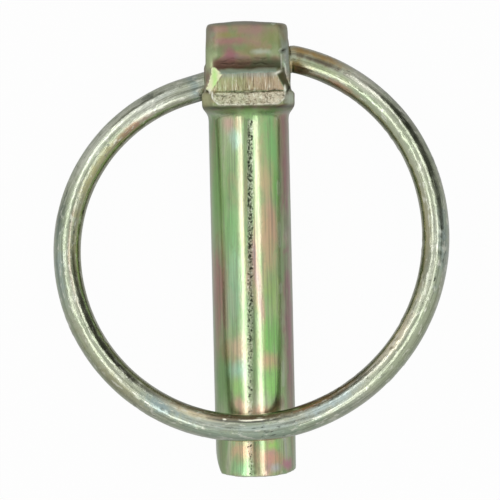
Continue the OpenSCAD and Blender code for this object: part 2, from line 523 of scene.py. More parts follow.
def make_wire_ring():
    points, length = route_of_wire()

    bpy.ops.object.select_all(action="DESELECT")
    bpy.ops.mesh.primitive_circle_add(vertices=WIRE_SIDES, radius=WIRE_R * MM,
                                      fill_type="NOTHING")
    ring = bpy.context.active_object
    ring.name = "wire_ring"
    draw = ring.modifiers.new("drawn_wire", "SCREW")
    draw.angle = 0.0
    draw.screw_offset = length * MM
    draw.steps = WIRE_STEPS
    draw.render_steps = WIRE_STEPS
    draw.axis = "Z"
    finish_modifier(ring, draw)
    ring.rotation_euler = (0.0, math.radians(90), 0.0)
    bpy.ops.object.transform_apply(location=True, rotation=True, scale=True)
    bpy.ops.object.mode_set(mode="EDIT")
    bpy.ops.mesh.select_all(action="DESELECT")
    bpy.ops.mesh.select_mode(type="EDGE")
    bpy.ops.mesh.select_non_manifold(extend=False)
    bpy.ops.mesh.edge_face_add()
    bpy.ops.mesh.select_all(action="SELECT")
    bpy.ops.mesh.normals_make_consistent(inside=False)
    bpy.ops.object.mode_set(mode="OBJECT")

    place = ring.data.attributes.new("wire_place", "FLOAT_VECTOR", "POINT")
    for vertex in ring.data.vertices:
        place.data[vertex.index].vector = vertex.co / MM

    rub_marks = cloud_texture("rub_marks", 0.8, contrast=1.5)
    long_marks = cloud_texture("long_marks", 0.6)
    stretch = make_stretch((10.0, 1.0, 1.0))
    press(ring, scuffed, 0.12, rub_marks)
    press(ring, free_wire, 0.05, long_marks, stretch=stretch)
    bpy.data.objects.remove(stretch)

    route = bpy.data.curves.new("ring_route", "CURVE")
    route.dimensions = "2D"
    line = route.splines.new("POLY")
    line.points.add(len(points) - 1)
    for spot, point in zip(line.points, points):
        spot.co = (point.x * MM, point.y * MM, 0.0, 1.0)
    former = bpy.data.objects.new("ring_former", route)
    bpy.context.scene.collection.objects.link(former)
    bpy.context.view_layer.update()
    bending = ring.modifiers.new("bent_round", "CURVE")
    bending.object = former
    bending.deform_axis = "POS_X"
    finish_modifier(ring, bending)
    bpy.data.objects.remove(former)

    ring.matrix_world = (
        Matrix.Translation((0.0, HINGE_Y * MM, 0.0))
        @ Matrix.Rotation(math.radians(HINGE_ANGLE), 4, "Z")
        @ Matrix.Rotation(math.radians(-RING_LEAN), 4, "X")
    )
    select_only(ring)
    bpy.ops.object.transform_apply(location=True, rotation=True, scale=True)
    ring.vertex_groups.clear()
    bpy.ops.object.shade_smooth()
    return ring


# Helpers for materials

def colour(red, green, blue):
    """A colour written as on a paint card, 0 to 255, for a shader's socket."""
    def linear(value):
        value /= 255.0
        return value / 12.92 if value <= 0.04045 else ((value + 0.055) / 1.055) ** 2.4
    return (linear(red), linear(green), linear(blue), 1.0)


def put(tree, kind, inputs=None, **settings):
    """Adds a node. An input that is a socket is linked, and any other is set."""
    node = tree.nodes.new(kind)
    for name, value in settings.items():
        setattr(node, name, value)
    for name, value in (inputs or {}).items():
        if isinstance(value, bpy.types.NodeSocket):
            tree.links.new(value, node.inputs[name])
        else:
            node.inputs[name].default_value = value
    return node


def maths(tree, operation, first, second=0.0, clamp=False):
    return put(tree, "ShaderNodeMath", {0: first, 1: second}, operation=operation,
               use_clamp=clamp).outputs[0]


def times(tree, first, second):
    return maths(tree, "MULTIPLY", first, second)


def plus(tree, first, second):
    return maths(tree, "ADD", first, second)


def minus(tree, first, second):
    return maths(tree, "SUBTRACT", first, second)


def blend_colour(tree, factor, first, second):
    node = put(tree, "ShaderNodeMix", data_type="RGBA", clamp_factor=True)
    for index, value in ((0, factor), (6, first), (7, second)):
        if isinstance(value, bpy.types.NodeSocket):
            tree.links.new(value, node.inputs[index])
        else:
            node.inputs[index].default_value = value
    return node.outputs[2]


def lay(tree, skin, mask, tint, strength=1.0):
    """Lays a tint over a colour, as far as a mask and a strength say."""
    share = mask if strength == 1.0 else times(tree, mask, strength)
    return blend_colour(tree, share, skin, colour(*tint))


def fade(tree, value, low, high):
    """0 at low, 1 at high, smooth between."""
    return put(tree, "ShaderNodeMapRange",
               {"Value": value, "From Min": low, "From Max": high},
               interpolation_type="SMOOTHSTEP").outputs[0]


def stretch_vector(tree, vector, scale, shift=(0.0, 0.0, 0.0)):
    return put(tree, "ShaderNodeMapping",
               {"Vector": vector, "Scale": scale, "Location": shift}).outputs[0]


def grain(tree, vector, scale, detail=2.0, roughness=0.5, distortion=0.0):
    return put(tree, "ShaderNodeTexNoise",
               {"Vector": vector, "Scale": scale, "Detail": detail,
                "Roughness": roughness, "Distortion": distortion}).outputs[0]


def new_group(name, inputs, outputs):
    """A shader node group with named inputs and outputs."""
    group = bpy.data.node_groups.new(name, "ShaderNodeTree")
    for label, kind, value in inputs:
        socket = group.interface.new_socket(name=label, in_out="INPUT", socket_type=kind)
        if value is not None:
            socket.default_value = value
    for label, kind in outputs:
        group.interface.new_socket(name=label, in_out="OUTPUT", socket_type=kind)
    return group, group.nodes.new("NodeGroupInput"), group.nodes.new("NodeGroupOutput")


def use_group(tree, group, inputs):
    return put(tree, "ShaderNodeGroup", inputs, node_tree=group)


def make_plating_hue():
    """The plating's colour, which changes with the thickness of its film."""
    group, given, made = new_group(
        "plating_hue",
        [("Vector", "NodeSocketVector", None), ("Thickness", "NodeSocketFloat", 0.0),
         ("Spread", "NodeSocketFloat", 1.0)],
        [("Color", "NodeSocketColor")])
    wide = grain(group, given.outputs["Vector"], 1.0, 2.0, 0.55, 0.4)
    swing = times(group, minus(group, wide, 0.5), given.outputs["Spread"])
    film = maths(group, "ADD", swing, given.outputs["Thickness"], clamp=True)
    hues = put(group, "ShaderNodeValToRGB", {"Fac": film})
    steps = [(0.00, (172, 186, 182)), (0.18, (192, 200, 164)), (0.34, (160, 188, 130)),
             (0.48, (130, 172, 104)), (0.60, (162, 166, 110)), (0.72, (186, 156, 124)),
             (0.84, (176, 130, 124)), (0.94, (154, 138, 142)), (1.00, (138, 182, 148))]
    bar = hues.color_ramp
    while len(bar.elements) < len(steps):
        bar.elements.new(0.5)
    for element, (place, shade) in zip(bar.elements, steps):
        element.position = place
        element.color = colour(*shade)
    group.links.new(hues.outputs[0], made.inputs["Color"])
    return group


def make_patch():
    """A soft patch round a place, 1 in its middle and 0 outside."""
    group, given, made = new_group(
        "patch",
        [("Vector", "NodeSocketVector", None), ("Centre", "NodeSocketVector", None),
         ("Reach", "NodeSocketVector", (1.0, 1.0, 1.0)), ("Wobble", "NodeSocketFloat", 2.0)],
        [("Mask", "NodeSocketFloat")])
    away = put(group, "ShaderNodeVectorMath",
               {0: given.outputs["Vector"], 1: given.outputs["Centre"]}, operation="SUBTRACT")
    shared = put(group, "ShaderNodeVectorMath",
                 {0: away.outputs[0], 1: given.outputs["Reach"]}, operation="DIVIDE")
    far = put(group, "ShaderNodeVectorMath", {0: shared.outputs[0]}, operation="LENGTH")
    drawn_out = stretch_vector(group, given.outputs["Vector"], (1.0, 0.45, 1.0))
    uneven = grain(group, drawn_out, 0.9, 4.0, 0.6, 0.6)
    shift = times(group, minus(group, uneven, 0.5), given.outputs["Wobble"])
    edge = plus(group, far.outputs["Value"], shift)
    group.links.new(fade(group, edge, 1.5, 0.05), made.inputs["Mask"])
    return group


def make_speckle():
    """Fine pits and grains: a mask of dark grains and a height for bump."""
    group, given, made = new_group(
        "speckle",
        [("Vector", "NodeSocketVector", None), ("Size", "NodeSocketFloat", 1.0)],
        [("Dark", "NodeSocketFloat"), ("Height", "NodeSocketFloat")])
    rate = maths(group, "DIVIDE", 1.0, given.outputs["Size"])
    fine = grain(group, given.outputs["Vector"], rate, 3.0, 0.6)
    group.links.new(fade(group, fine, 0.42, 0.30), made.inputs["Dark"])
    group.links.new(fine, made.inputs["Height"])
    return group


def make_edge_wear():
    """Outer edges, where the plating is thin and rubbed, and inner corners, which the material
    makes darker.
    """
    group, given, made = new_group(
        "edge_wear",
        [("Vector", "NodeSocketVector", None)],
        [("Edge", "NodeSocketFloat"), ("Corner", "NodeSocketFloat")])
    shape = put(group, "ShaderNodeNewGeometry").outputs["Pointiness"]
    uneven = grain(group, given.outputs["Vector"], 1.3, 3.0)
    pushed = plus(group, shape, times(group, minus(group, uneven, 0.5), 0.03))
    group.links.new(fade(group, pushed, 0.515, 0.56), made.inputs["Edge"])
    group.links.new(fade(group, pushed, 0.485, 0.44), made.inputs["Corner"])
    return group


plating_hue = make_plating_hue()
patch = make_patch()
speckle = make_speckle()
edge_wear = make_edge_wear()


def lay_patches(tree, vector, base, patches):
    """Lays tinted patches over a colour. Each has its place, reach, tint and strength."""
    for centre, reach, tint, strength in patches:
        mask = use_group(tree, patch, {"Vector": vector, "Centre": centre, "Reach": reach})
        base = lay(tree, base, mask.outputs["Mask"], tint, strength)
    return base


# Tints of the plating
SHANK_HAZE = (196, 196, 176)
HEAD_HAZE = (118, 112, 94)
WIRE_HAZE = (170, 171, 160)
WIRE_INNER_SIDE = (148, 146, 112)
# Painted shade under the nose and on the right wall, and painted light on the left wall
BROWN_SHADE = (92, 58, 48)
OLIVE_SHADE = (70, 72, 50)
PAINTED_LIGHT_WALL = (252, 255, 212)
GREEN_WALL = (206, 255, 158)

# Tints of the sheared faces
GREEN_SHEAR = (160, 168, 122)
TAN_SHEAR = (176, 156, 130)
WARM_SHEAR = (186, 168, 138)
COLLAR_SHEAR = (212, 210, 190)
GREY_SHEAR = (146, 152, 146)
SHEAR_GROOVE = (104, 84, 60)
SHEAR_RIDGE = (228, 228, 212)

# Tints of wear and dirt, and of painted highlights, glints, reflection and shade
BARE_STEEL_AND_HIGHLIGHT = (244, 244, 232)
PAINTED_GLINT_WHITE = (255, 252, 232)
RUBBED_EDGE = (198, 202, 186)
RUBBED_LINE = (206, 206, 186)
RUBBED_WIRE = (222, 222, 210)
LINE_GLINT = (240, 242, 226)
LINE_PIT = (24, 28, 20)
PAINTED_REFLECTION_TEAL = (138, 156, 142)
GREY_RIM = (150, 152, 144)
DRAWN_BAR = (84, 92, 62)
DRAWN_WIRE = (86, 90, 66)
INNER_CORNER_DARK = (58, 50, 38)
DARK_SEAM_AND_SHADE = (44, 36, 26)
GRAIN_DIRT = (70, 66, 50)
SCUFF_DIRT = (46, 50, 40)

# Patches of plating colour on the forging, and some of painted highlight and reflection: place,
# reach, tint, strength
FORGING_PATCHES = [
    # Left side of the shank
    ((-4.3, -9.5, 2.8), (1.5, 9.5, 2.8), (136, 196, 98), 0.9),
    ((-4.3, -21.5, 2.8), (1.6, 6.0, 2.6), (190, 128, 122), 0.9),
    ((-3.7, -29.5, 3.3), (0.6, 1.3, 1.6), (168, 112, 74), 0.8),
    ((-4.1, -33.0, 3.0), (1.2, 4.5, 2.4), (122, 176, 90), 0.85),
    ((-2.4, -0.9, 4.5), (1.0, 1.3, 2.0), (216, 172, 160), 0.75),
    ((-1.8, -2.9, 4.7), (0.7, 1.3, 2.0), (184, 220, 212), 0.6),
    ((-2.5, -14.5, 4.4), (0.9, 4.5, 2.0), (132, 194, 118), 0.75),
    ((-2.4, -21.5, 4.4), (0.9, 5.5, 2.0), (150, 200, 160), 0.7),
    ((-1.9, -29.0, 4.6), (1.4, 1.8, 2.0), (214, 180, 148), 0.75),
    ((-2.0, -31.6, 4.6), (1.4, 1.3, 2.0), (160, 214, 190), 0.65),
    ((-2.0, -33.8, 4.6), (1.0, 1.4, 2.0), (146, 206, 108), 0.8),
    # Painted reflection of the ring, just above it
    ((-1.9, -35.9, 4.6), (1.3, 0.9, 2.0), (216, 172, 146), 0.8),
    # Right side of the shank
    ((2.9, -3.6, 4.1), (1.3, 5.0, 2.0), (120, 194, 106), 0.8),
    ((2.1, -8.6, 4.5), (1.2, 2.6, 2.0), (200, 172, 130), 0.7),
    ((3.2, -9.0, 3.8), (0.5, 2.2, 2.0), (104, 186, 78), 0.8),
    ((2.2, -15.5, 4.5), (1.2, 5.0, 2.0), (204, 166, 128), 0.8),
    ((2.6, -22.5, 4.3), (1.2, 3.0, 2.0), (152, 188, 98), 0.75),
    ((2.2, -28.0, 4.4), (1.5, 2.6, 2.0), (120, 196, 84), 0.8),
    ((2.0, -30.7, 4.5), (1.4, 1.1, 2.0), (214, 162, 132), 0.7),
    ((2.3, -33.4, 4.4), (1.5, 2.2, 2.0), (138, 208, 96), 0.8),
    ((4.6, -6.5, 2.4), (0.9, 9.0, 2.8), (166, 108, 112), 0.95),
    ((4.5, -13.5, 2.6), (0.6, 1.6, 2.2), (112, 150, 84), 0.7),
    ((4.6, -27.0, 2.4), (0.9, 12.0, 2.8), (172, 110, 124), 0.95),
    # Painted reflection of the ring, just above it, in the next two patches
    ((3.0, -35.8, 4.0), (0.8, 0.9, 2.0), (116, 76, 40), 0.85),
    ((0.6, -36.8, 5.0), (3.2, 0.9, 2.0), (200, 146, 112), 0.75),
    # Painted highlight: pale lines along the lamps' highlight bands down the shank
    ((-1.15, -17.0, 4.9), (0.4, 32.0, 1.5), (210, 216, 194), 0.3),
    ((0.85, -17.0, 4.9), (0.4, 32.0, 1.5), (214, 216, 196), 0.35),
    # Below the ring
    ((-4.3, -42.0, 2.8), (0.8, 3.2, 2.4), (134, 152, 88), 0.75),
    ((-1.6, -41.5, 4.7), (2.0, 1.1, 2.0), (214, 170, 134), 0.8),
    ((2.0, -41.0, 4.6), (1.1, 0.7, 2.0), (150, 218, 88), 0.8),
    ((2.0, -42.6, 4.6), (2.2, 0.9, 2.0), (210, 150, 124), 0.7),
    ((-2.0, -44.0, 4.6), (1.0, 0.9, 2.0), (136, 204, 140), 0.75),
    ((2.4, -43.9, 4.4), (0.7, 0.6, 2.0), (188, 186, 200), 0.7),
    ((3.9, -43.5, 3.2), (0.8, 0.8, 2.0), (204, 118, 150), 0.8),
    # Front of the head
    ((-3.2, 10.6, 7.5), (1.8, 0.7, 1.5), (146, 116, 104), 0.75),
    ((-1.9, 9.1, 7.5), (2.2, 0.7, 1.5), (150, 108, 108), 0.85),
    ((1.3, 10.4, 7.5), (2.6, 0.9, 1.5), (144, 116, 110), 0.8),
    ((-2.4, 9.9, 7.5), (1.7, 0.4, 1.5), (136, 132, 84), 0.8),
    ((3.4, 9.5, 7.5), (1.6, 1.5, 1.6), (122, 130, 82), 0.8),
    ((-2.8, 8.2, 7.5), (2.0, 0.6, 1.5), (114, 122, 92), 0.7),
    ((-2.2, 7.3, 7.5), (0.9, 1.0, 1.5), (144, 96, 104), 0.85),
    ((0.4, 7.9, 7.5), (1.4, 0.8, 1.5), (126, 120, 82), 0.7),
    # Painted highlight: a soft whitish streak low on the nose's front
    ((1.8, 7.75, 7.5), (1.3, 0.35, 1.5), (172, 180, 166), 0.65),
    ((3.6, 6.8, 7.2), (0.8, 0.4, 1.5), (160, 126, 108), 0.6),
    ((5.2, 7.4, 6.4), (1.0, 3.0, 1.8), (176, 190, 182), 0.8),
    ((5.0, 10.4, 6.4), (1.0, 1.4, 1.8), (168, 170, 144), 0.8),
    # Painted light: the left lamp's glow on the rounded outer left cheek
    ((-5.0, 7.2, 6.6), (1.0, 2.4, 1.8), (190, 204, 160), 0.8),
    ((-5.0, 10.2, 6.6), (1.0, 1.6, 1.8), (160, 158, 142), 0.6),
    # Collar
    ((5.3, 2.0, 5.3), (1.0, 1.5, 1.5), (200, 212, 196), 0.9),
    ((-5.3, 2.0, 5.3), (1.0, 1.5, 1.5), (188, 188, 148), 0.9),
    ((0.0, 0.2, 5.2), (3.8, 0.8, 1.2), (112, 160, 82), 0.8),
]


def make_bump(tree, height):
    return put(tree, "ShaderNodeBump", {"Height": height, "Strength": 0.4,
                                        "Distance": 0.05 * MM}).outputs[0]


def read_paint(tree, name):
    return put(tree, "ShaderNodeAttribute", attribute_name=name).outputs["Fac"]


def make_plating(tree, mm, axes, head):
    """The plating's colour, in long streaks down the shank and in clouds on the head."""
    streaks = use_group(tree, plating_hue, {
        "Vector": stretch_vector(tree, mm, (0.42, 0.09, 0.42), (3.1, 0.4, 1.7)),
        "Thickness": 0.48, "Spread": 1.6}).outputs[0]
    streaks = blend_colour(tree, 0.12, streaks, colour(*SHANK_HAZE))
    clouds = use_group(tree, plating_hue, {
        "Vector": stretch_vector(tree, mm, (0.34, 0.42, 0.34), (1.4, 2.2, 0.6)),
        "Thickness": 0.62, "Spread": 1.6}).outputs[0]
    clouds = blend_colour(tree, 0.65, clouds, colour(*HEAD_HAZE))
    skin = blend_colour(tree, head, streaks, clouds)
    skin = lay_patches(tree, mm, skin, FORGING_PATCHES)
    return lay(tree, skin, fade(tree, axes["Y"], 10.9, 11.4), GREY_RIM, 0.7)


def make_pitted_line(tree, mm, axes):
    """Masks of the line of pits down the shank's front: its width, its glints, its pits."""
    wander = grain(tree, stretch_vector(tree, mm, (0.0, 0.35, 0.0)), 1.0, 3.0)
    line_x = plus(tree, times(tree, axes["Y"], 0.021), times(tree, wander, 0.36))
    off_line = maths(tree, "ABSOLUTE", minus(tree, axes["X"], line_x))
    near_line = fade(tree, off_line, 0.5, 0.2)
    for axis, low, high in (("Z", 4.0, 4.8), ("Y", -0.2, -1.0), ("Y", -80.0, -8.0)):
        near_line = times(tree, near_line, fade(tree, axes[axis], low, high))
    shifted = stretch_vector(tree, mm, (1.0, 0.7, 1.0), (7.0, 3.0, 1.0))
    specks = grain(tree, shifted, 4.6, 2.0, 0.75)
    glints = times(tree, fade(tree, specks, 0.43, 0.36), near_line)
    raised = plus(tree, specks, times(tree, near_line, 0.2))
    pits = times(tree, fade(tree, raised, 0.68, 0.72), fade(tree, near_line, 0.0, 0.3))
    return near_line, glints, pits


def make_sheared_metal(tree, mm, axes):
    """Colour of the sheared faces, and the height of their grain."""
    combed = grain(tree, stretch_vector(tree, mm, (1.0, 0.09, 1.0)), 5.4, 4.0, 0.75)
    torn = grain(tree, mm, 2.6, 4.0, 0.75)
    on_collar = fade(tree, axes["Y"], 2.9, 2.65)
    marks = put(tree, "ShaderNodeMix", {0: on_collar, 2: combed, 3: torn},
                data_type="FLOAT").outputs[0]
    wide = grain(tree, stretch_vector(tree, mm, (0.8, 0.3, 0.8), (0.3, 5.2, 2.0)), 1.0, 2.0)
    lean = plus(tree, times(tree, axes["X"], 0.16), times(tree, minus(tree, wide, 0.5), 2.2))
    tint = blend_colour(tree, fade(tree, lean, -0.7, 0.6), colour(*GREEN_SHEAR),
                        colour(*TAN_SHEAR))
    tint = lay(tree, tint, fade(tree, lean, -0.5, -1.0), WARM_SHEAR)
    tint = lay(tree, tint, on_collar, COLLAR_SHEAR, 0.55)
    tint = lay(tree, tint, fade(tree, marks, 0.47, 0.36), SHEAR_GROOVE, 0.8)
    light = times(tree, fade(tree, marks, 0.54, 0.66),
                  plus(tree, 0.7, times(tree, on_collar, 0.15)))
    tint = lay(tree, tint, light, SHEAR_RIDGE)
    tint = lay(tree, tint, fade(tree, axes["Y"], 4.4, 5.0), GREY_SHEAR, 0.6)
    return tint, marks


def lay_nose_shade(tree, mm, axes, skin):
    """Painted shade, brown to olive, on the nose's underside and the right wall."""
    lean = plus(tree, axes["X"], times(tree, grain(tree, mm, 0.8, 2.0), 6.0))
    tint = blend_colour(tree, fade(tree, lean, 1.6, 4.4), colour(*BROWN_SHADE),
                        colour(*OLIVE_SHADE))
    return blend_colour(tree, times(tree, read_paint(tree, "deep_shade"), 0.85), skin, tint)


def lay_left_wall(tree, mm, skin, wall):
    """Painted light on the left wall: a pale, bright colour with a green stripe."""
    stripe = use_group(tree, patch, {"Vector": mm, "Centre": (-4.1, 4.7, 6.0),
                                     "Reach": (0.4, 1.2, 1.4)}).outputs["Mask"]
    tint = blend_colour(tree, stripe, colour(*PAINTED_LIGHT_WALL), colour(*GREEN_WALL))
    return blend_colour(tree, wall, skin, tint)


def make_plated_forging():
    material = bpy.data.materials.new("plated_forging")
    material.use_nodes = True
    tree = material.node_tree
    shader = tree.nodes["Principled BSDF"]
    place = put(tree, "ShaderNodeTexCoord").outputs["Object"]
    mm = put(tree, "ShaderNodeVectorMath", {0: place, "Scale": 1.0 / MM},
             operation="SCALE").outputs[0]
    axes = put(tree, "ShaderNodeSeparateXYZ", {0: mm}).outputs
    head = fade(tree, axes["Y"], 0.0, 1.0)
    sheared = read_paint(tree, "sheared_face")
    unsheared = minus(tree, 1.0, sheared)
    left_wall_light = read_paint(tree, "left_wall")
    reflection_band = read_paint(tree, "nose_reflection_band")
    pale_edges_and_glint = read_paint(tree, "pale_lines")

    # Plating, the lines left by drawing the bar, and the line of pits
    skin = make_plating(tree, mm, axes, head)
    lines = grain(tree, stretch_vector(tree, mm, (1.0, 0.02, 1.0)), 3.4, 3.0, 0.6)
    on_shank = times(tree, fade(tree, lines, 0.52, 0.36), minus(tree, 1.0, head))
    skin = lay(tree, skin, on_shank, DRAWN_BAR, 0.36)
    near_line, glints, pits = make_pitted_line(tree, mm, axes)
    skin = lay(tree, skin, near_line, RUBBED_LINE, 0.35)
    skin = lay(tree, skin, glints, LINE_GLINT, 0.7)
    skin = lay(tree, skin, pits, LINE_PIT, 0.95)

    # Sheared faces, darker inner corners, rubbed edges, dark seams, and painted shade, light,
    # reflection and highlights round the nose
    shear_tint, shear_marks = make_sheared_metal(tree, mm, axes)
    skin = blend_colour(tree, sheared, skin, shear_tint)
    worn = use_group(tree, edge_wear, {"Vector": mm}).outputs
    # Inner corners made darker
    skin = lay(tree, skin, times(tree, worn["Corner"], unsheared), INNER_CORNER_DARK, 0.7)
    skin = lay(tree, skin, times(tree, worn["Edge"], unsheared), RUBBED_EDGE, 0.4)
    skin = lay_nose_shade(tree, mm, axes, skin)
    skin = lay_left_wall(tree, mm, skin, left_wall_light)
    # Painted reflection: a lighter teal band low on the nose's underside
    skin = lay(tree, skin, reflection_band, PAINTED_REFLECTION_TEAL, 0.85)
    # Dark seams and nick, with painted shade in the notch's corners and under the collar
    skin = lay(tree, skin, read_paint(tree, "dark_lines"), DARK_SEAM_AND_SHADE)
    # Pale edges, partly bare metal and partly painted highlight, and a painted glint
    skin = lay(tree, skin, pale_edges_and_glint, BARE_STEEL_AND_HIGHLIGHT)
    grains = use_group(tree, speckle, {"Vector": stretch_vector(tree, mm, (1.0, 0.55, 1.0)),
                                       "Size": 0.24}).outputs
    skin = lay(tree, skin, grains["Dark"], GRAIN_DIRT, 0.15)
    tree.links.new(skin, shader.inputs["Base Color"])

    # Bare and highlighted edges, the painted light on the left wall and the painted reflection
    # band are matt, and the film is glossier on the shank than on the head
    matt = maths(tree, "MAXIMUM", left_wall_light, times(tree, pale_edges_and_glint, 0.7))
    matt = maths(tree, "MAXIMUM", matt, times(tree, reflection_band, 0.8))
    tree.links.new(minus(tree, 1.0, matt), shader.inputs["Metallic"])
    coat = minus(tree, 1.0, times(tree, head, 0.8))
    coat = maths(tree, "SUBTRACT", coat, pits, clamp=True)
    tree.links.new(coat, shader.inputs["Coat Weight"])
    shader.inputs["Coat Roughness"].default_value = 0.2
    shader.inputs["Coat IOR"].default_value = 1.8
    cloudy = grain(tree, stretch_vector(tree, mm, (0.6, 0.25, 0.6)), 1.0, 3.0)
    rough = put(tree, "ShaderNodeMapRange", {"Value": cloudy, "From Min": 0.3, "From Max": 0.7,
                                             "To Min": 0.16, "To Max": 0.24}).outputs[0]
    for share, amount in ((head, 0.27), (sheared, 0.08), (pits, 0.2)):
        rough = plus(tree, rough, times(tree, share, amount))
    tree.links.new(rough, shader.inputs["Roughness"])

    height = plus(tree, times(tree, grains["Height"], 0.5), times(tree, lines, 0.5))
    height = plus(tree, height, times(tree, times(tree, shear_marks, sheared), 1.6))
    height = minus(tree, height, times(tree, pits, 0.5))
    tree.links.new(make_bump(tree, height), shader.inputs["Normal"])
    return material


# Patches on the wire: along it, across it (+ is the inner side) and up, reach, tint, strength
WIRE_PATCHES = [
    # From the left hole to the ring's left side
    ((4.6, 0.0, 1.0), (1.0, 3.0, 2.4), (140, 158, 158), 0.8),
    ((11.0, -0.2, 1.5), (3.6, 1.3, 1.4), (206, 208, 198), 0.8),
    ((10.2, -1.0, 1.2), (1.8, 0.4, 1.2), (92, 98, 82), 0.85),
    ((14.5, 1.0, 1.2), (3.4, 0.4, 1.2), (158, 108, 84), 0.8),
    # Painted highlight: a wide whitish one on the outer half
    ((19.0, -0.7, 1.4), (6.0, 0.8, 1.4), (214, 216, 204), 0.8),
    ((22.0, 0.9, 1.2), (6.0, 0.6, 1.4), (166, 160, 108), 0.8),
    ((28.5, -1.1, 1.1), (2.6, 0.5, 1.4), (92, 108, 98), 0.8),
    ((34.5, -1.0, 1.2), (5.0, 0.6, 1.4), (160, 176, 172), 0.8),
    ((33.0, 0.35, 1.6), (7.0, 0.2, 1.0), (150, 122, 110), 0.6),
    ((33.0, 1.1, 1.1), (6.0, 0.6, 1.4), (162, 160, 112), 0.7),
    # Lower left
    ((40.0, 1.35, 0.9), (3.4, 0.4, 1.2), (130, 140, 120), 0.5),
    ((42.0, 0.95, 1.3), (3.6, 0.3, 1.2), (72, 68, 50), 0.6),
    ((49.5, 0.8, 1.3), (6.5, 0.4, 1.2), (72, 68, 50), 0.8),
    ((50.0, -1.0, 1.2), (8.0, 0.8, 1.4), (144, 142, 108), 0.8),
    ((56.5, -0.1, 1.6), (3.0, 0.9, 1.4), (134, 158, 166), 0.75),
    ((52.0, 0.55, 1.5), (3.0, 0.3, 1.2), (72, 72, 58), 0.7),
    ((61.0, 0.65, 1.5), (3.8, 0.4, 1.2), (250, 236, 200), 0.95),
    # Across the shank
    ((68.5, 1.2, 1.1), (12.0, 0.75, 1.4), (108, 76, 36), 0.95),
    ((68.0, 0.55, 1.6), (8.0, 0.16, 1.0), (64, 66, 56), 0.9),
    ((69.0, -0.3, 1.6), (9.0, 0.6, 1.4), (176, 188, 186), 0.7),
    ((68.0, -1.2, 1.0), (12.0, 0.6, 1.4), (136, 156, 142), 0.7),
    # Lower right
    ((77.0, 1.1, 1.2), (5.0, 0.45, 1.4), (158, 112, 58), 0.85),
    ((78.5, 0.2, 1.6), (4.0, 0.5, 1.4), (190, 208, 214), 0.7),
    ((83.8, 1.0, 1.2), (1.4, 0.5, 1.2), (78, 82, 74), 0.8),
    ((90.0, 0.8, 1.3), (6.0, 0.6, 1.4), (226, 214, 188), 0.8),
    ((91.0, -1.0, 1.2), (10.0, 0.7, 1.4), (158, 166, 138), 0.7),
    ((101.0, 0.8, 1.3), (3.0, 0.5, 1.4), (94, 102, 92), 0.7),
    # Right side and back to the head
    ((106.0, 1.0, 1.2), (8.0, 0.6, 1.4), (172, 166, 130), 0.7),
    ((104.0, -1.0, 1.2), (5.0, 0.7, 1.4), (152, 168, 168), 0.8),
    ((121.0, -1.5, 0.6), (9.0, 0.5, 1.2), (100, 102, 92), 0.6),
    ((113.0, -0.75, 1.4), (5.0, 0.5, 1.4), (104, 106, 92), 0.5),
    ((119.5, -0.75, 1.4), (3.0, 0.7, 1.4), (60, 62, 48), 0.7),
    ((117.0, 1.0, 1.2), (8.0, 0.6, 1.4), (170, 176, 152), 0.6),
    ((126.5, -0.6, 1.4), (4.0, 0.9, 1.4), (214, 212, 200), 0.8),
    ((128.5, 1.25, 1.0), (3.0, 0.4, 1.2), (172, 126, 96), 0.7),
    ((131.0, 0.4, 1.6), (4.5, 0.5, 1.4), (150, 164, 112), 0.6),
    ((133.4, -1.0, 1.2), (4.5, 0.8, 1.4), (158, 124, 54), 0.95),
    ((132.4, -0.35, 1.6), (4.4, 0.3, 1.2), (62, 46, 26), 0.9),
    ((135.3, 1.0, 1.2), (2.4, 0.8, 1.4), (168, 142, 84), 0.8),
]


# Painted glints, bright white and not metallic, where the wire crosses the shank, in the same
# order
PAINTED_WIRE_GLINTS = [
    ((64.7, 0.75, 1.5), (0.25, 0.1, 1.0), (255, 255, 255), 1.2),
    ((67.5, 0.72, 1.5), (0.9, 0.1, 1.0), (255, 255, 255), 1.6),
    ((69.1, 0.76, 1.5), (0.8, 0.1, 1.0), (255, 255, 255), 1.6),
]


